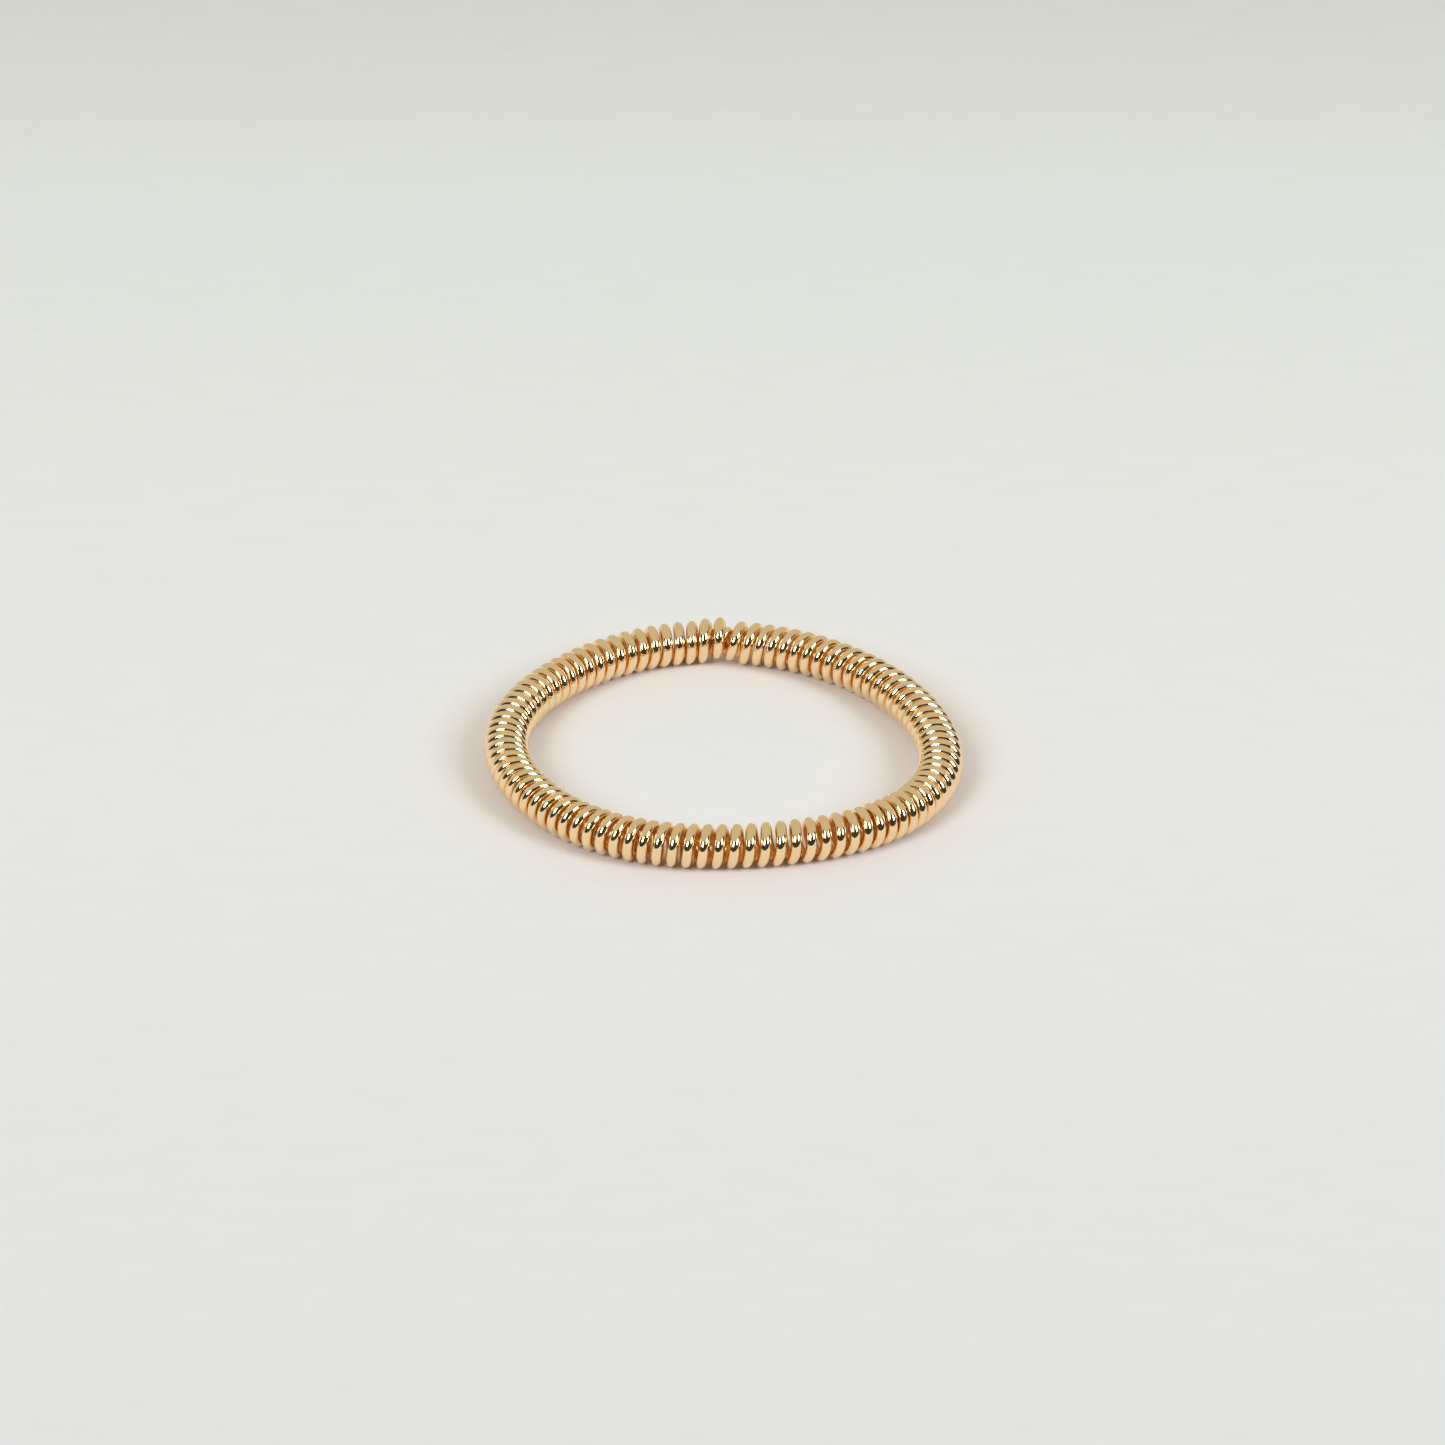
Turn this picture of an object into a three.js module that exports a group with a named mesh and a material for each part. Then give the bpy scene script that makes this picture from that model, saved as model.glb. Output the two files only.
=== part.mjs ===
// Spring coil ring: one round gilt wire, wound left-handed into a long close coil that is bent
// round into a closed ring and slips over a finger. One end of the wire, the nib, winds in to
// narrow turns, which are screwed into the open bore at the coil's other end, the socket.
//
// The coil bends and stretches all along, so it is built as short sections of about three turns.
// Two sections meet at a seam, where the wire runs straight up or down on the inside or the outside
// of the coil. At a seam the next section either turns about the wire or slides along the ring.
// Each arm of the ring is a chain of nested groups, one for each seam, from the front section to
// the socket or to the nib.
//
// Millimetres, +Z up. The ring lies flat on Z = 0, round the origin, with its join at the back, +Y.

import * as THREE from "three";

// Driving dimensions
const WIRE = 0.5; // wire diameter
const COIL_OUTSIDE = 2; // outside diameter of the coil
const RING_RADIUS = 9.7; // mean radius of the ring, to the middle of the coil
const RING_MIDDLE = { x: 0.024, y: 0.245 }; // of the ring's outline, from the centre of its lobes

// The coil, in turns from the socket's cut end to the nib's
const TURNS_ROUND = 96.5; // turns that fill the ring once
const SOCKET_START = 0.34;
const NIB_END = 98.5;
const SOCKET_LIFT = 0.2; // the socket's end turns ride up on the nib
const LIFT_FADE = { start: 0.7, end: 2.3 }; // in turns from where the ring closes
const SOCKET_TIGHTENING = 0.04; // the end turn is a little narrower than the rest
const TIGHTENING_TURNS = 2;
const NIB_RADIUS = 0.2; // of the narrow turns, to the middle of the wire
const TAPER = { start: 95.5, end: 96.8 }; // where the coil narrows
const NIB_RISE = { start: 95.9, end: 96.6 }; // where the nib rises into the lifted socket
const SOCKET_PUSH = { turns: 0.1, start: 0.5, end: 1.5 }; // both ends are pushed towards each other
const NIB_PUSH = { turns: 0.13, start: 94.75, end: 95.5 };

// Sections
const SECTION_TURNS = 3; // turns from one seam to the next
const FIRST_SEAM = 1.75; // in turns: a seam on the inside of the coil
const SEAMS = 32;
const OUTER_SEAMS = [0, 2, 13, 15]; // in each arm, counted from the front: these are on the outside,
const OUTER_SHIFT = 0.5; // this many turns nearer to the front
const SEAM_GAP = 0.02; // clearance between two sections, along the wire

// Facets
const STEPS_PER_TURN = 12;
const FLAT_HALF_WIDTH = 0.57; // of the wire's six-sided outline, in wire radii: it keeps its area

// The ring was closed by hand and isn't quite round. Each entry adds a number of lobes of a height
// in mm, one of them in a direction in degrees from +X.
const LOBES = [
  { count: 2, height: 0.208, direction: 143 },
  { count: 3, height: 0.232, direction: 93 },
  { count: 4, height: 0.07, direction: 67.5 },
  { count: 5, height: 0.055, direction: 31.5 },
];

// Nor are its turns evenly spaced. Each entry is a wave in their places round the ring, with its
// size and phase in degrees.
const JOIN_DIRECTION = 88.2;
const SPACING_WAVES = [
  { count: 1, size: 0.95, phase: -18 },
  { count: 2, size: 1.35, phase: 61 },
  { count: 3, size: 1.03, phase: 169 },
  { count: 4, size: 0.34, phase: -110 },
  { count: 5, size: 0.26, phase: 131 },
  { count: 6, size: 0.14, phase: -121 },
];

// Next to the join the turns lean over: their tops are this far along the ring from their middles.
const SOCKET_LEAN = 0.056;
const NIB_LEAN = -0.114;
const LEAN_TURNS = 8; // turns over which the lean fades
const NIB_LEAN_END = 96.25;
const IN_SOCKET = { start: 96.25, end: 97.1 }; // where the nib takes the socket's lean

// The end turn is also turned about the upright: its outside is this far along from its middle.
const SOCKET_SKEW = 0.1;
const SKEW_TURNS = 2; // turns over which the skew fades

const WIRE_RADIUS = WIRE / 2;
const COIL_RADIUS = (COIL_OUTSIDE - WIRE) / 2; // to the middle of the wire
const COIL_HEIGHT = COIL_OUTSIDE / 2; // of the coil's middle above the table
const STEP = 1 / STEPS_PER_TURN;
const HALF = 0.5;
const UP = new THREE.Vector3(0, 0, 1);

const radians = THREE.MathUtils.degToRad;
const smooth = THREE.MathUtils.smoothstep;

// ---- The wire's path ----

// The direction from the ring's centre, in radians, in which the wire has made a number of turns.
function directionAt(turns) {
  const socketPush = SOCKET_PUSH.turns * (1 - smooth(turns, SOCKET_PUSH.start, SOCKET_PUSH.end));
  const nibPush = NIB_PUSH.turns * smooth(turns, NIB_PUSH.start, NIB_PUSH.end);
  const trip = (turns + nibPush - socketPush) / TURNS_ROUND;
  let degrees = JOIN_DIRECTION + 360 * trip;
  for (const { count, size, phase } of SPACING_WAVES) {
    degrees += size * Math.sin(radians(360 * count * trip + phase));
  }
  return radians(degrees);
}

// The middle of the coil in a direction from the ring's centre, in the plane of the table.
function middleAt(direction) {
  let radius = RING_RADIUS;
  for (const lobe of LOBES) {
    radius += lobe.height * Math.cos(lobe.count * (direction - radians(lobe.direction)));
  }
  return new THREE.Vector3(
    radius * Math.cos(direction) - RING_MIDDLE.x,
    radius * Math.sin(direction) - RING_MIDDLE.y,
    0,
  );
}

// The way along the ring in a direction, anticlockwise seen from above.
function alongAt(direction) {
  const reach = 1e-4;
  return middleAt(direction + reach).sub(middleAt(direction - reach)).normalize();
}

// The coil's radius, to the middle of the wire.
function coilRadiusAt(turns) {
  const tightening = SOCKET_TIGHTENING * (1 - smooth(turns, 0, TIGHTENING_TURNS));
  const narrowing = (COIL_RADIUS - NIB_RADIUS) * smooth(turns, TAPER.start, TAPER.end);
  return COIL_RADIUS - tightening - narrowing;
}

// How far the socket's end turns, and the nib in them, stand above the rest of the coil.
function liftAt(turns) {
  const atSocket = 1 - smooth(turns, LIFT_FADE.start, LIFT_FADE.end);
  const atNib = 1 - smooth(turns - TURNS_ROUND, LIFT_FADE.start, LIFT_FADE.end);
  return SOCKET_LIFT * (atSocket + atNib * smooth(turns, NIB_RISE.start, NIB_RISE.end));
}

function leanAt(turns) {
  const inSocket = smooth(turns, IN_SOCKET.start, IN_SOCKET.end);
  const socketSide = 1 - smooth(turns, 0, LEAN_TURNS) + inSocket;
  const nibSide = smooth(turns, NIB_LEAN_END - LEAN_TURNS, NIB_LEAN_END) - inSocket;
  return SOCKET_LEAN * socketSide + NIB_LEAN * nibSide;
}

function skewAt(turns) {
  return SOCKET_SKEW * (1 - smooth(turns, 0, SKEW_TURNS));
}

// The coil where the wire has made a number of turns: its middle, the way along the ring, and the
// way out from its middle to the wire. The wire starts at the bottom of the coil and goes up on the
// inside of the ring.
function coilAt(turns) {
  const direction = directionAt(turns);
  const along = alongAt(direction);
  const around = radians(360 * turns - 90);
  const out = along
    .clone()
    .cross(UP)
    .multiplyScalar(Math.cos(around))
    .addScaledVector(UP, Math.sin(around));
  const tilt = leanAt(turns) * Math.sin(around) + skewAt(turns) * Math.cos(around);
  const middle = middleAt(direction).addScaledVector(along, tilt);
  middle.z = COIL_HEIGHT + liftAt(turns);
  return { middle, along, out };
}

function wireAt(turns) {
  const { middle, out } = coilAt(turns);
  return middle.addScaledVector(out, coilRadiusAt(turns));
}

// ---- Sections of the coil ----

// One corner of the wire's faceted path, and the directions of the wire's outline there. Corners
// stand outside the true coil, so that the facets between them touch it.
function cornerAt(turns) {
  const { middle, along, out } = coilAt(turns);
  const outside = out.divideScalar(Math.cos(Math.PI * STEP));
  const point = middle.addScaledVector(outside, coilRadiusAt(turns));
  return { point, normal: outside, binormal: along };
}

// A place on the facet between two corners. Corners are half a step off whole steps, so a facet
// lies flat at the bottom of each turn.
function cutAt(turns) {
  const before = (Math.floor(turns / STEP - HALF) + HALF) * STEP;
  const share = (turns - before) / STEP;
  const cut = cornerAt(before);
  const next = cornerAt(before + STEP);
  for (const key of ["point", "normal", "binormal"]) {
    cut[key].lerp(next[key], share);
  }
  return cut;
}

// The wire's path through one section, in facets. Its outline's X points out from the coil and its
// Y along the ring.
class FacetedPath extends THREE.Curve {
  constructor(start, end) {
    super();
    this.corners = [cutAt(start)];
    for (let step = Math.ceil(start / STEP - HALF); (step + HALF) * STEP < end; step++) {
      this.corners.push(cornerAt((step + HALF) * STEP));
    }
    this.corners.push(cutAt(end));
  }

  getSpacedPoints() {
    return this.corners.map((corner) => corner.point);
  }

  computeFrenetFrames() {
    return {
      normals: this.corners.map((corner) => corner.normal),
      binormals: this.corners.map((corner) => corner.binormal),
    };
  }
}

// The wire's outline: six-sided, with flats that face out from the coil and in.
function wireOutline() {
  const flat = FLAT_HALF_WIDTH * WIRE_RADIUS;
  return new THREE.Shape([
    new THREE.Vector2(WIRE_RADIUS, -flat),
    new THREE.Vector2(WIRE_RADIUS, flat),
    new THREE.Vector2(0, WIRE_RADIUS),
    new THREE.Vector2(-WIRE_RADIUS, flat),
    new THREE.Vector2(-WIRE_RADIUS, -flat),
    new THREE.Vector2(0, -WIRE_RADIUS),
  ]);
}

function sectionGeometry(start, end) {
  const path = new FacetedPath(start, end);
  return new THREE.ExtrudeGeometry(wireOutline(), {
    steps: path.corners.length - 1,
    bevelEnabled: false,
    extrudePath: path,
  });
}

// ---- The ring ----

function gilt() {
  return new THREE.MeshStandardMaterial({ color: 0xe8bf85, roughness: 0.12, metalness: 1 });
}

// Seams in turns, from the socket to the nib.
function seamPlaces() {
  const half = SEAMS / 2;
  const places = [];
  for (let seam = 0; seam < SEAMS; seam++) {
    const beyondFront = seam >= half;
    const fromFront = beyondFront ? seam - half : half - 1 - seam;
    const shift = OUTER_SEAMS.includes(fromFront) ? OUTER_SHIFT : 0;
    places.push(FIRST_SEAM + seam * SECTION_TURNS + (beyondFront ? -shift : shift));
  }
  return places;
}

// A group at a seam, with its X along the ring, inside the group before it.
function addGroup(parent, turns) {
  const along = alongAt(directionAt(turns));
  const group = new THREE.Group();
  group.position.copy(wireAt(turns));
  group.rotation.z = Math.atan2(along.y, along.x);
  group.updateMatrixWorld();
  parent.updateWorldMatrix(true, false);
  parent.attach(group);
  return group;
}

// A section's mesh in its group, from the wire's path in the ring's own frame.
function addSection(group, name, start, end) {
  group.updateWorldMatrix(true, false);
  const mesh = new THREE.Mesh(sectionGeometry(start, end), gilt());
  mesh.geometry.applyMatrix4(group.matrixWorld.clone().invert());
  mesh.name = name;
  group.add(mesh);
}

function sectionName(index) {
  if (index === 0) {
    return "socket_end";
  }
  if (index === SEAMS) {
    return "nib_end";
  }
  return "coil_" + String(index).padStart(2, "0");
}

function buildRing() {
  const halfGap = SEAM_GAP / 2 / (2 * Math.PI * COIL_RADIUS);
  const seams = seamPlaces();
  const starts = [SOCKET_START, ...seams.map((seam) => seam + halfGap)];
  const ends = [...seams.map((seam) => seam - halfGap), NIB_END];
  const front = SEAMS / 2;
  const ring = new THREE.Group();
  addSection(ring, sectionName(front), starts[front], ends[front]);

  let nibArm = ring;
  for (let index = front + 1; index <= SEAMS; index++) {
    nibArm = addGroup(nibArm, seams[index - 1]);
    addSection(nibArm, sectionName(index), starts[index], ends[index]);
  }

  let socketArm = ring;
  for (let index = front - 1; index >= 0; index--) {
    socketArm = addGroup(socketArm, seams[index]);
    addSection(socketArm, sectionName(index), starts[index], ends[index]);
  }
  return ring;
}

export default buildRing();
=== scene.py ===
"""Spring coil ring of gilt wire, lying on a pale sheet of paper.

The scene is in metres, in the CAD model's frame: the ring lies round the origin on Z = 0, with its
join at the back, +Y. The wire is one smooth tube that follows the same path as the CAD model's
sections. It is cut half-way between each two seams, so each piece of it spans one seam.
"""

import math

import bpy
import numpy as np
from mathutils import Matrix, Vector

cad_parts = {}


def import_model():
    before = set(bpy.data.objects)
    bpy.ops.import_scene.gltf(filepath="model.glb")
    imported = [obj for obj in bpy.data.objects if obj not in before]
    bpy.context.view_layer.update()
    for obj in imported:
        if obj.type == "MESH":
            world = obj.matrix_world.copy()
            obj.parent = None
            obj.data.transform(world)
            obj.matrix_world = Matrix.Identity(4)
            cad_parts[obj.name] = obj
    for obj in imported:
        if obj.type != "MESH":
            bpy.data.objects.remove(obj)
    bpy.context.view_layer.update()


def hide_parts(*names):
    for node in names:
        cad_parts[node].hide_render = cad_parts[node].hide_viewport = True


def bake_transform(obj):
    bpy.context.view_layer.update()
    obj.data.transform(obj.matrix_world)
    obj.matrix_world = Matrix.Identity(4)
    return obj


MM = 0.001
UP = np.array([0.0, 0.0, 1.0])

# The ring's driving dimensions are the CAD model's, in millimetres, turns and degrees.
WIRE_RADIUS = 0.25
COIL_RADIUS = 0.75  # to the middle of the wire
COIL_HEIGHT = COIL_RADIUS + WIRE_RADIUS  # of the coil's middle above the table
RING_RADIUS = 9.7  # to the middle of the coil
RING_MIDDLE = (0.024, 0.245)  # of the ring's outline, from the centre of its lobes

# The ring isn't quite round: each entry adds a number of lobes of a height, one in a direction.
LOBES = ((2, 0.208, 143), (3, 0.232, 93), (4, 0.07, 67.5), (5, 0.055, 31.5))

# Nor are its turns evenly spaced: each entry adds a number of waves with a size and a phase.
JOIN_DIRECTION = 88.2
SPACING_WAVES = (
    (1, 0.95, -18),
    (2, 1.35, 61),
    (3, 1.03, 169),
    (4, 0.34, -110),
    (5, 0.26, 131),
    (6, 0.14, -121),
)

# The coil, in turns from the socket's cut end to the nib's
TURNS_ROUND = 96.5  # turns that fill the ring once
TURN_START = -90  # each turn starts at the bottom of the coil
SOCKET_START, NIB_END = 0.34, 98.5
SOCKET_LIFT = 0.2  # the socket's end turns ride up on the nib
LIFT_FADE = (0.7, 2.3)  # in turns from where the ring closes
SOCKET_TIGHTENING, TIGHTENING_TURNS = 0.04, 2  # the end turn is a little narrower than the rest
NIB_RADIUS = 0.2  # of the narrow turns, to the middle of the wire
TAPER = (95.5, 96.8)  # where the coil narrows
NIB_RISE = (95.9, 96.6)  # where the nib rises into the lifted socket
SOCKET_PUSH_TURNS, SOCKET_PUSH = 0.1, (0.5, 1.5)  # both ends are pushed towards each other
NIB_PUSH_TURNS, NIB_PUSH = 0.13, (94.75, 95.5)

# Next to the join the turns lean over: their tops are this far along the ring from their middles.
SOCKET_LEAN, NIB_LEAN = 0.056, -0.114
LEAN_TURNS = 8  # turns over which the lean fades
NIB_LEAN_END = 96.25
IN_SOCKET = (96.25, 97.1)  # where the nib takes the socket's lean
SOCKET_SKEW, SKEW_TURNS = 0.1, 2  # the end turn's outside is this far along from its middle

# The seams between the CAD model's sections
SECTION_TURNS = 3  # turns from one seam to the next
FIRST_SEAM = 1.75
SEAMS = 32
OUTER_SEAMS = (0, 2, 13, 15)  # in each arm, counted from the front: these are on the outside,
OUTER_SHIFT = 0.5  # this many turns nearer to the front

# The smooth wire
STEPS_PER_TURN = 40
SIDES = 20
END_ROUNDING = 0.05  # radius on the rim of a cut end
RIM_STEPS = 4
WIRE_UV = "along_wire"

# Steps over which the ring's and the wire's directions are measured, in radians and in turns
RING_STEP = 1e-4
WIRE_STEP = 1e-3

# ---- The wire's path, in millimetres ----


def smooth(value, start, end):
    """A smooth step from 0 to 1 between two values."""
    share = np.clip((value - start) / (end - start), 0, 1)
    return share * share * (3 - 2 * share)


def direction_at(turns):
    """The direction from the ring's centre, in radians."""
    socket_push = SOCKET_PUSH_TURNS * (1 - smooth(turns, *SOCKET_PUSH))
    nib_push = NIB_PUSH_TURNS * smooth(turns, *NIB_PUSH)
    trip = (turns + nib_push - socket_push) / TURNS_ROUND
    degrees = JOIN_DIRECTION + 360 * trip
    for count, size, phase in SPACING_WAVES:
        degrees = degrees + size * np.sin(np.radians(360 * count * trip + phase))
    return np.radians(degrees)


def middle_at(direction):
    """The middle of the coil in a direction, in the plane of the table."""
    radius = RING_RADIUS
    for count, height, lobe in LOBES:
        radius = radius + height * np.cos(count * (direction - math.radians(lobe)))
    x = radius * np.cos(direction) - RING_MIDDLE[0]
    y = radius * np.sin(direction) - RING_MIDDLE[1]
    return np.stack([x, y, np.zeros_like(x)], -1)


def unit(vectors):
    return vectors / np.linalg.norm(vectors, axis=-1, keepdims=True)


def along_at(direction):
    """The way along the ring in a direction."""
    return unit(middle_at(direction + RING_STEP) - middle_at(direction - RING_STEP))


def coil_radius_at(turns):
    """The coil's radius, to the middle of the wire."""
    tightening = SOCKET_TIGHTENING * (1 - smooth(turns, 0, TIGHTENING_TURNS))
    return COIL_RADIUS - tightening - (COIL_RADIUS - NIB_RADIUS) * smooth(turns, *TAPER)


def lift_at(turns):
    """How far the turns are above their places in the rest of the ring."""
    at_socket = 1 - smooth(turns, *LIFT_FADE)
    at_nib = 1 - smooth(turns - TURNS_ROUND, *LIFT_FADE)
    return SOCKET_LIFT * (at_socket + at_nib * smooth(turns, *NIB_RISE))


def lean_at(turns):
    """How far the turns' tops are along the ring from their middles."""
    in_socket = smooth(turns, *IN_SOCKET)
    socket_side = 1 - smooth(turns, 0, LEAN_TURNS) + in_socket
    nib_side = smooth(turns, NIB_LEAN_END - LEAN_TURNS, NIB_LEAN_END) - in_socket
    return SOCKET_LEAN * socket_side + NIB_LEAN * nib_side


def skew_at(turns):
    """How far the turns' outsides are along the ring from their middles."""
    return SOCKET_SKEW * (1 - smooth(turns, 0, SKEW_TURNS))


def wire_at(turns):
    """The middle of the wire, and the way out from the coil's middle to it."""
    direction = direction_at(turns)
    along = along_at(direction)
    around = np.radians(360 * turns + TURN_START)
    out = np.cross(along, UP) * np.cos(around)[..., None] + UP * np.sin(around)[..., None]
    tilt = lean_at(turns) * np.sin(around) + skew_at(turns) * np.cos(around)
    middle = middle_at(direction) + along * tilt[..., None]
    middle[..., 2] = COIL_HEIGHT + lift_at(turns)
    return middle + out * coil_radius_at(turns)[..., None], out


def seam_places():
    """Where the seams are, in turns."""
    half = SEAMS // 2
    places = []
    for seam in range(SEAMS):
        beyond_front = seam >= half
        from_front = seam - half if beyond_front else half - 1 - seam
        shift = OUTER_SHIFT if from_front in OUTER_SEAMS else 0
        places.append(FIRST_SEAM + seam * SECTION_TURNS + (-shift if beyond_front else shift))
    return places


def section_name(index):
    """The CAD model's node for a section, counted from the socket."""
    if index == 0:
        return "socket_end"
    if index == SEAMS:
        return "nib_end"
    return f"coil_{index:02d}"


# ---- The smooth wire ----


def placed(name, data):
    """A new object in the scene."""
    made = bpy.data.objects.new(name, data)
    bpy.context.collection.objects.link(made)
    return made


def stations(start, end, cut_start, cut_end):
    """Where a piece's rings of points are, in turns, with each ring's radius and how far its
    normals tip back or forward along the wire, in radians. A cut end has a rounded rim."""
    steps = round((end - start) * STEPS_PER_TURN)
    turns = np.linspace(start, end, steps + 1)
    radii = np.full(len(turns), WIRE_RADIUS)
    tips = np.zeros(len(turns))
    rim = np.linspace(0, math.pi / 2, RIM_STEPS + 1)
    rim_turns = END_ROUNDING * (1 - np.cos(rim)) / (2 * math.pi * COIL_RADIUS)
    rim_radii = WIRE_RADIUS - END_ROUNDING * (1 - np.sin(rim))
    rim_tips = math.pi / 2 - rim
    if cut_start:
        turns = np.concatenate([start + rim_turns, turns[1:]])
        radii = np.concatenate([rim_radii, radii[1:]])
        tips = np.concatenate([-rim_tips, tips[1:]])
    if cut_end:
        turns = np.concatenate([turns[:-1], end - rim_turns[::-1]])
        radii = np.concatenate([radii[:-1], rim_radii[::-1]])
        tips = np.concatenate([tips[:-1], rim_tips[::-1]])
    return turns, radii, tips


def wire_skin(normals, tangents, lengths):
    """A piece's faces, over its rings of points and on its two ends, with the normals and the UVs
    of their corners."""
    faces, corner_normals, corner_uvs = [], [], []
    last = len(lengths) - 1
    for ring in range(last):
        for side in range(SIDES):
            corners = ((ring, side), (ring, side + 1), (ring + 1, side + 1), (ring + 1, side))
            faces.append([r * SIDES + s % SIDES for r, s in corners])
            corner_normals += [normals[r, s % SIDES] for r, s in corners]
            corner_uvs += [(lengths[r], s / SIDES) for r, s in corners]
    for ring, order, facing in ((0, -1, -tangents[0]), (last, 1, tangents[last])):
        faces.append([ring * SIDES + side for side in range(SIDES)][::order])
        corner_normals += [facing] * SIDES
        corner_uvs += [(lengths[ring], side / SIDES) for side in range(SIDES)][::order]
    return faces, corner_normals, corner_uvs


def wire_piece(name, start, end, cut_start, cut_end):
    """Makes a stretch of the wire between two places, in turns, with flat ends. Its UV is the
    length along the wire, in mm, and the share of the way round it. Also gives the point of the
    wire's middle line that each vertex lies round."""
    turns, radii, tips = stations(start, end, cut_start, cut_end)
    centres, out = wire_at(turns)
    tangents = unit(wire_at(turns + WIRE_STEP)[0] - wire_at(turns - WIRE_STEP)[0])
    out = unit(out - tangents * (out * tangents).sum(-1, keepdims=True))
    across = np.cross(tangents, out)
    angles = 2 * math.pi * np.arange(SIDES) / SIDES
    round_wire = (
        out[:, None] * np.cos(angles)[None, :, None]
        + across[:, None] * np.sin(angles)[None, :, None]
    )
    rings = centres[:, None] + round_wire * radii[:, None, None]
    normals = (
        round_wire * np.cos(tips)[:, None, None]
        + tangents[:, None] * np.sin(tips)[:, None, None]
    )
    steps = np.linalg.norm(np.diff(centres, axis=0), axis=-1)
    lengths = np.concatenate([[0], np.cumsum(steps)]) + start * 2 * math.pi * COIL_RADIUS
    faces, corner_normals, corner_uvs = wire_skin(normals, tangents, lengths)

    mesh = bpy.data.meshes.new(name)
    mesh.from_pydata((rings.reshape(-1, 3) * MM).tolist(), [], faces)
    uv_layer = mesh.uv_layers.new(name=WIRE_UV)
    uv_layer.data.foreach_set("uv", np.array(corner_uvs).ravel())
    mesh.polygons.foreach_set("use_smooth", [True] * len(faces))
    mesh.normals_split_custom_set([tuple(normal) for normal in corner_normals])
    return placed(name, mesh), np.repeat(centres, SIDES, axis=0) * MM


def bend(piece, middle_line):
    """Bakes a piece's transform while it is shrunk to its middle line, so that each ring of points
    moves as one and the wire keeps its thickness; then puts its points back."""
    places = np.empty(middle_line.size)
    vertices = piece.data.vertices
    vertices.foreach_get("co", places)
    vertices.foreach_set("co", middle_line.ravel())
    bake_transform(piece)
    vertices.foreach_set("co", places)
    piece.data.update()


def lay_wire(material):
    """The whole wire, in a piece for each seam."""
    seams = seam_places()
    ends = [SOCKET_START] + [(a + b) / 2 for a, b in zip(seams, seams[1:])] + [NIB_END]
    for index, (seam, start, end) in enumerate(zip(seams, ends, ends[1:])):
        name = f"wire_{index + 1:02d}"
        piece, middle_line = wire_piece(name, start, end, index == 0, index == SEAMS - 1)
        piece.data.materials.append(material)
        bend(piece, middle_line)
        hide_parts(section_name(index))
        if index == SEAMS - 1:
            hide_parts(section_name(SEAMS))


# ---- Nodes ----


def feed(tree, node, inputs):
    """Gives a node's inputs their values, or links them where a value is another node's output."""
    for key, value in inputs.items():
        if isinstance(value, bpy.types.NodeSocket):
            tree.links.new(value, node.inputs[key])
        else:
            node.inputs[key].default_value = value


def add(tree, kind, inputs=None, **settings):
    """The outputs of a new node."""
    node = tree.nodes.new(kind)
    for key, value in settings.items():
        setattr(node, key, value)
    feed(tree, node, inputs or {})
    return node.outputs


def maths(tree, operation, *values):
    inputs = dict(enumerate(values))
    return add(tree, "ShaderNodeMath", inputs, operation=operation)["Value"]


def mix(tree, factor, a, b, **settings):
    return add(tree, "ShaderNodeMix", {"Factor": factor, "A": a, "B": b}, **settings)["Result"]


def map_range(tree, value, before, after=(0, 1), interpolation="LINEAR"):
    """A value taken from one range to another, and held inside it."""
    names = ("From Min", "From Max", "To Min", "To Max")
    inputs = {"Value": value, **dict(zip(names, (*before, *after)))}
    return add(tree, "ShaderNodeMapRange", inputs, interpolation_type=interpolation)["Result"]


def ramp(tree, factor, stops):
    """A colour ramp over stops, each of them a place from 0 to 1 and a colour."""
    node = tree.nodes.new("ShaderNodeValToRGB")
    feed(tree, node, {"Fac": factor})
    elements = node.color_ramp.elements
    for place, _ in stops[1:-1]:
        elements.new(place)
    for element, (place, colour) in zip(elements, stops):
        element.position = place
        element.color = (*colour, 1)
    return node.outputs["Color"]


def stretched(tree, vector, scale):
    return add(tree, "ShaderNodeMapping", {"Vector": vector, "Scale": scale})["Vector"]


def noise(tree, vector, scale, detail, roughness=0.5, dimensions="3D"):
    inputs = {"Vector": vector, "Scale": scale, "Detail": detail, "Roughness": roughness}
    return add(tree, "ShaderNodeTexNoise", inputs, noise_dimensions=dimensions)["Fac"]


def bump(tree, height, strength, distance):
    inputs = {"Height": height, "Strength": strength, "Distance": distance}
    return add(tree, "ShaderNodeBump", inputs)["Normal"]


def new_material(name):
    material = bpy.data.materials.new(name)
    material.use_nodes = True
    return material, material.node_tree


# ---- Materials ----

# Where the gold is open to the room its colour and polish vary in patches, made by a noise.
GOLDS = ((0.3, (1.0, 0.745, 0.45)), (0.7, (1.0, 0.775, 0.49)))  # at two values of the noise
POLISH = (0.045, 0.09)  # roughness, at the same values
PATCH_SCALE = 900  # per metre
PATCH_DETAIL = 4

LINE_SCALE = (0.6, 48, 1)  # per mm along the wire, and in the way round it
LINE_DETAIL = 3
LINE_STRENGTH, LINE_DEPTH = 0.12, 2e-6  # the depth in metres

PAINTED_BOUNCE_GOLD = (1.0, 0.62, 0.26)  # painted bounce light, where the turns face one another
FLANK_ROUGHNESS = 0.28
FLANK = (0.05, 0.62)  # where both give way to polish: the cosine of the angle from straight out


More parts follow.
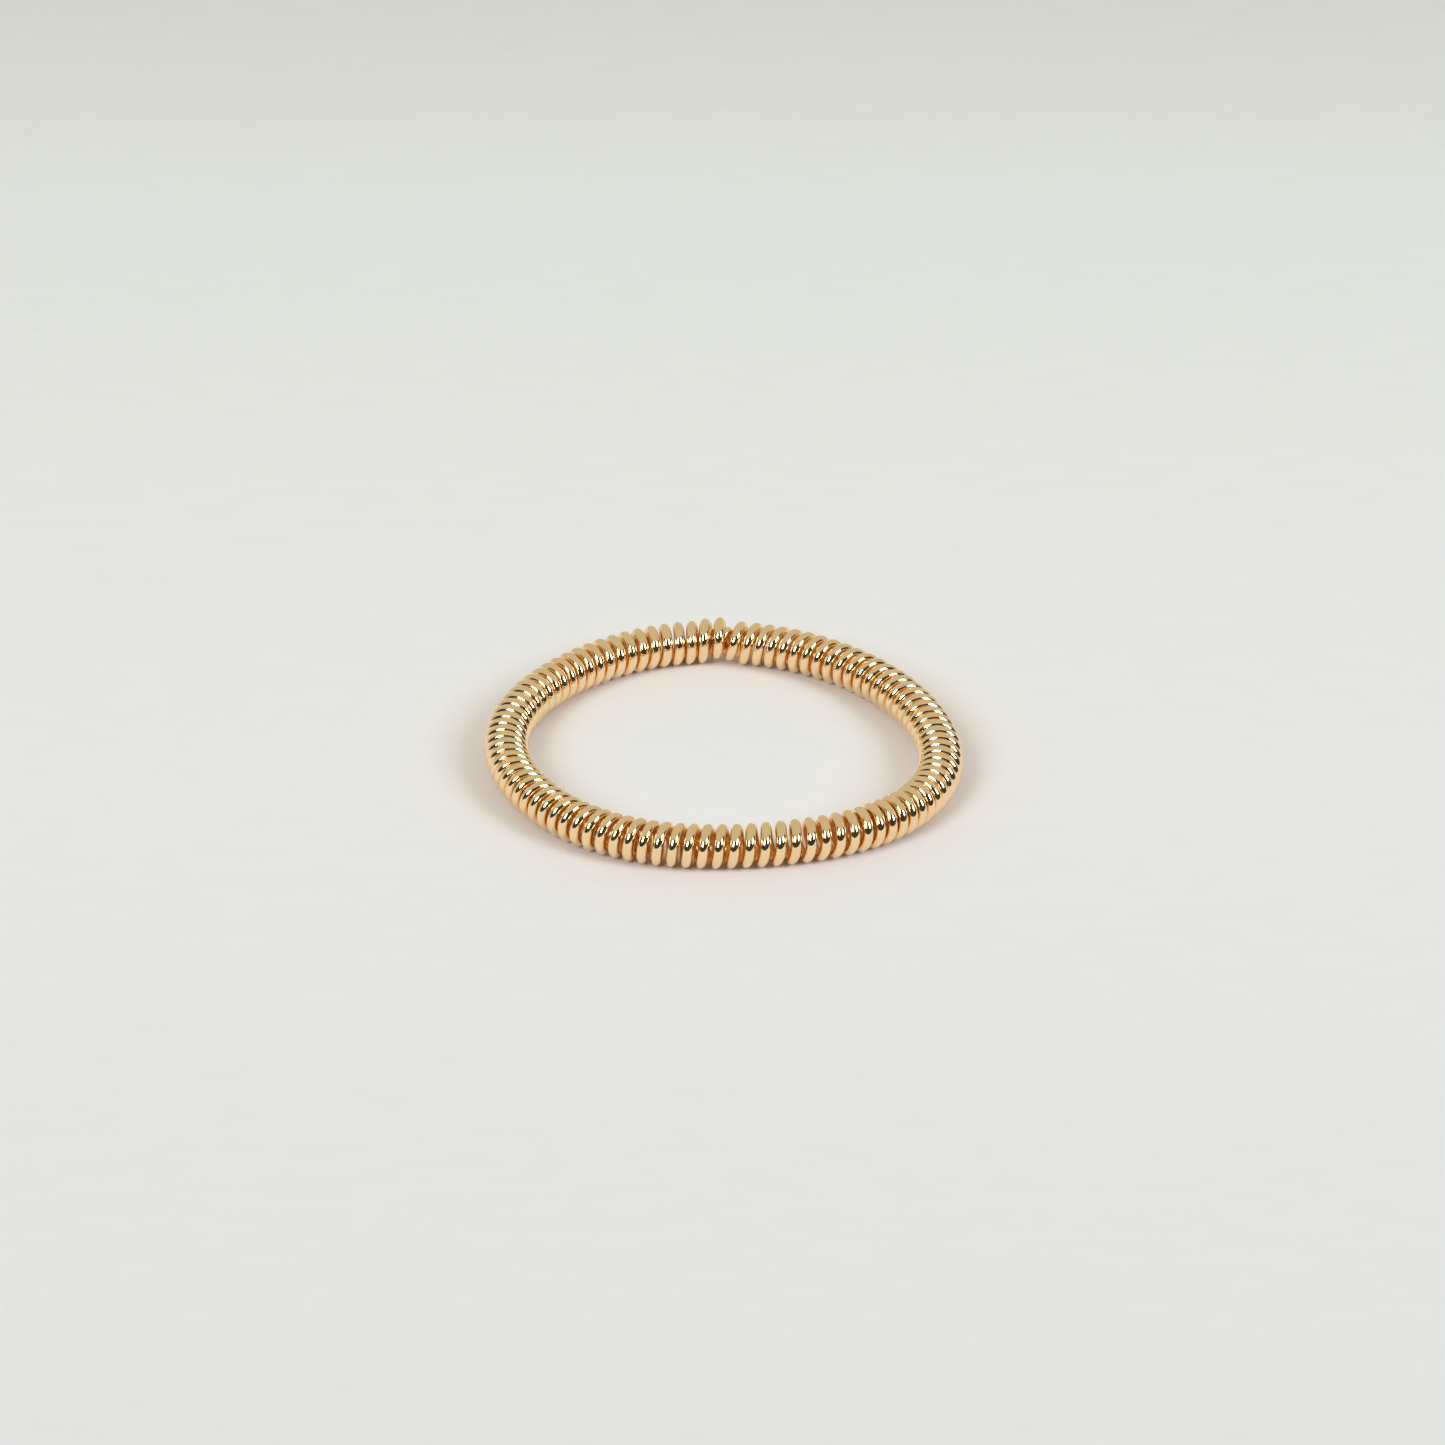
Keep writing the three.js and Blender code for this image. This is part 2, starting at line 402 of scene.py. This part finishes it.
def gilt_wire():
    """Polished gold plate on drawn wire: faint lines run along it, and its polish varies. Where
    the turns face one another it is duller, with a painted deeper colour for light bounced between
    them."""
    material, tree = new_material("gilt_wire")
    uv = add(tree, "ShaderNodeUVMap", uv_map=WIRE_UV)["UV"]
    place = add(tree, "ShaderNodeTexCoord")["Object"]

    patches = noise(tree, place, PATCH_SCALE, PATCH_DETAIL)
    tint = ramp(tree, patches, GOLDS)
    polish = map_range(tree, patches, [value for value, _ in GOLDS], POLISH)

    way_round = add(tree, "ShaderNodeSeparateXYZ", {"Vector": uv})["Y"]
    outward = maths(tree, "COSINE", maths(tree, "MULTIPLY", way_round, 2 * math.pi))
    open_side = map_range(tree, outward, FLANK, interpolation="SMOOTHSTEP")

    drawn = stretched(tree, uv, LINE_SCALE)
    lines = noise(tree, drawn, scale=1, detail=LINE_DETAIL, dimensions="2D")
    inputs = {
        "Metallic": 1,
        # painted bounce colour on the sides facing the next turns, the gold's own tint on the open
        # side
        "Base Color": mix(tree, open_side, (*PAINTED_BOUNCE_GOLD, 1), tint, data_type="RGBA"),
        "Roughness": mix(tree, open_side, FLANK_ROUGHNESS, polish, data_type="FLOAT"),
        "Normal": bump(tree, lines, LINE_STRENGTH, LINE_DEPTH),
    }
    feed(tree, tree.nodes["Principled BSDF"], inputs)
    return material


# Painted light and shade on the paper: its colour at places from its front to its back, in metres
# from the ring's centre
PAINTED_PAPER_SHADING = (
    (-0.400, (0.980, 0.930, 0.820)),
    (-0.100, (0.880, 0.860, 0.820)),
    (-0.060, (0.800, 0.806, 0.808)),
    (-0.002, (0.860, 0.862, 0.856)),
    (0.025, (0.852, 0.864, 0.846)),
    (0.058, (0.818, 0.838, 0.820)),
    (0.085, (0.728, 0.740, 0.718)),
)
PAPER_ROUGHNESS, PAPER_SPECULAR = 0.85, 0.2
PAINTED_GLOW = (1.035, 0.99, 0.96)  # a faint painted glow, where the gold throws its light on the paper
PAINTED_GLOW_REACH = (0.001, 0.006)  # from the middle of the coil, in metres

FIBRE_SCALE, FIBRE_STRETCH = 700, (0.45, 1, 1)  # per metre, and longer from side to side
FIBRE_DETAIL, FIBRE_ROUGHNESS = 6, 0.65
FIBRE_STRENGTH, FIBRE_DEPTH = 0.25, 1e-4  # the depth in metres
MOTTLE = (0.97, 1.03)  # how bright the paper is over its fibres


def paper():
    """Smooth white paper that falls away into painted shade behind the ring; painted light makes
    it lighter far in front, and a faint painted glow lies round the coil.
    """
    material, tree = new_material("paper")
    place = add(tree, "ShaderNodeTexCoord")["Object"]

    # the paper's painted light and shade, from its front to its back
    front, back = PAINTED_PAPER_SHADING[0][0], PAINTED_PAPER_SHADING[-1][0]
    depth = add(tree, "ShaderNodeSeparateXYZ", {"Vector": place})["Y"]
    stops = [((y - front) / (back - front), colour) for y, colour in PAINTED_PAPER_SHADING]
    shade = ramp(tree, map_range(tree, depth, (front, back)), stops)

    grain = stretched(tree, place, FIBRE_STRETCH)
    fibres = noise(tree, grain, FIBRE_SCALE, FIBRE_DETAIL, FIBRE_ROUGHNESS)
    mottled = {"Vector": shade, "Scale": map_range(tree, fibres, (0, 1), MOTTLE)}
    tinted = add(tree, "ShaderNodeVectorMath", mottled, operation="SCALE")["Vector"]

    # a faint glow, painted into the paper's colour round the coil, where the gold throws its light
    from_centre = add(tree, "ShaderNodeVectorMath", {"Vector": place}, operation="LENGTH")["Value"]
    gap = maths(tree, "ABSOLUTE", maths(tree, "SUBTRACT", from_centre, RING_RADIUS * MM))
    near = map_range(tree, gap, PAINTED_GLOW_REACH, (1, 0), "SMOOTHSTEP")
    painted_glow = mix(tree, near, tinted, (*PAINTED_GLOW, 1), data_type="RGBA", blend_type="MULTIPLY")
    inputs = {
        "Roughness": PAPER_ROUGHNESS,
        "Specular IOR Level": PAPER_SPECULAR,
        "Base Color": painted_glow,
        "Normal": bump(tree, fibres, FIBRE_STRENGTH, FIBRE_DEPTH),
    }
    feed(tree, tree.nodes["Principled BSDF"], inputs)
    return material


# ---- The stage ----

FLOOR_HALF_WIDTH = 2

CAMERA_ELEVATION = 28.616
CAMERA_DISTANCE = 0.388
SENSOR, LENS = 36, 214.15  # in millimetres
FRAME_SHIFT = (0.0001, 0.0152)  # to the right and up, as shares of the frame's width
CLIPPING = (0.01, 20)

SOFTBOX_DISTANCE = 1.5
SOFTBOX_COLOUR = (0.92, 0.97, 1.08)
SOFTBOX_RADIANCE = 8.6

PALE_ROOM = (0.60, 0.565, 0.45)
DARK_ROOM = (0.05, 0.046, 0.03)
OPENING_MIDDLE = (8, 17)  # azimuth and elevation, in degrees
OPENING_HALF_SIZE = (105, 39)
OPENING_EDGE = 0.9  # where the dark starts to give way, as a share of the half size


def floor(material):
    mesh = bpy.data.meshes.new("floor")
    signs = ((-1, -1), (1, -1), (1, 1), (-1, 1))
    corners = [(x * FLOOR_HALF_WIDTH, y * FLOOR_HALF_WIDTH, 0) for x, y in signs]
    mesh.from_pydata(corners, [], [(0, 1, 2, 3)])
    mesh.materials.append(material)
    made = placed("floor", mesh)


def camera():
    """Aimed so that the ring's centre falls a little below the middle of the frame."""
    data = bpy.data.cameras.new("camera")
    data.sensor_width = SENSOR
    data.lens = LENS
    data.shift_x, data.shift_y = FRAME_SHIFT
    data.clip_start, data.clip_end = CLIPPING
    elevation = math.radians(CAMERA_ELEVATION)
    target = Vector((-RING_MIDDLE[0], -RING_MIDDLE[1], COIL_HEIGHT)) * MM
    back = Vector((0, -math.cos(elevation), math.sin(elevation)))
    made = placed("camera", data)
    made.location = target + back * CAMERA_DISTANCE
    made.rotation_mode = "QUATERNION"
    made.rotation_quaternion = (-back).to_track_quat("-Z", "Y")
    bpy.context.scene.camera = made


def toward(azimuth, elevation):
    """A direction from the ring. Azimuth 0 is the camera's side and 90 is the right."""
    a, e = math.radians(azimuth), math.radians(elevation)
    return Vector((math.sin(a) * math.cos(e), -math.cos(a) * math.cos(e), math.sin(e)))


def softbox(name, azimuth, elevation, width, height):
    """A light that faces the ring. Its place and its size are angles, as seen from the ring."""
    data = bpy.data.lights.new(name, "AREA")
    data.shape = "RECTANGLE"
    data.size = 2 * SOFTBOX_DISTANCE * math.tan(math.radians(width) / 2)
    data.size_y = 2 * SOFTBOX_DISTANCE * math.tan(math.radians(height) / 2)
    data.energy = SOFTBOX_RADIANCE * math.pi * data.size * data.size_y
    data.color = SOFTBOX_COLOUR
    light = placed(name, data)
    light.location = toward(azimuth, elevation) * SOFTBOX_DISTANCE
    light.rotation_mode = "QUATERNION"
    light.rotation_quaternion = toward(azimuth, elevation).to_track_quat("Z", "Y")


def world():
    """A pale room all round, with a dark opening at the front, where the camera and lights are."""
    made = bpy.data.worlds.new("room")
    bpy.context.scene.world = made
    made.use_nodes = True
    tree = made.node_tree
    direction = add(tree, "ShaderNodeTexCoord")["Generated"]
    axes = add(tree, "ShaderNodeSeparateXYZ", {"Vector": direction})
    azimuth = maths(tree, "ARCTAN2", axes["X"], maths(tree, "MULTIPLY", axes["Y"], -1))
    elevation = maths(tree, "ARCSINE", axes["Z"])
    squares = []
    for angle, middle, half in zip((azimuth, elevation), OPENING_MIDDLE, OPENING_HALF_SIZE):
        offset = maths(tree, "SUBTRACT", angle, math.radians(middle))
        share = maths(tree, "DIVIDE", offset, math.radians(half))
        squares.append(maths(tree, "MULTIPLY", share, share))
    out_of_opening = maths(tree, "SQRT", maths(tree, "ADD", *squares))
    shade = ramp(tree, out_of_opening, ((OPENING_EDGE, DARK_ROOM), (1, PALE_ROOM)))
    feed(tree, tree.nodes["Background"], {"Color": shade})


# ---- The scene ----

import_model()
lay_wire(gilt_wire())

floor(paper())
camera()
world()
softbox("left_softbox", azimuth=-37, elevation=36, width=24, height=24)
softbox("right_softbox", azimuth=57, elevation=35, width=23, height=24)
bpy.context.scene.view_settings.view_transform = "Standard"
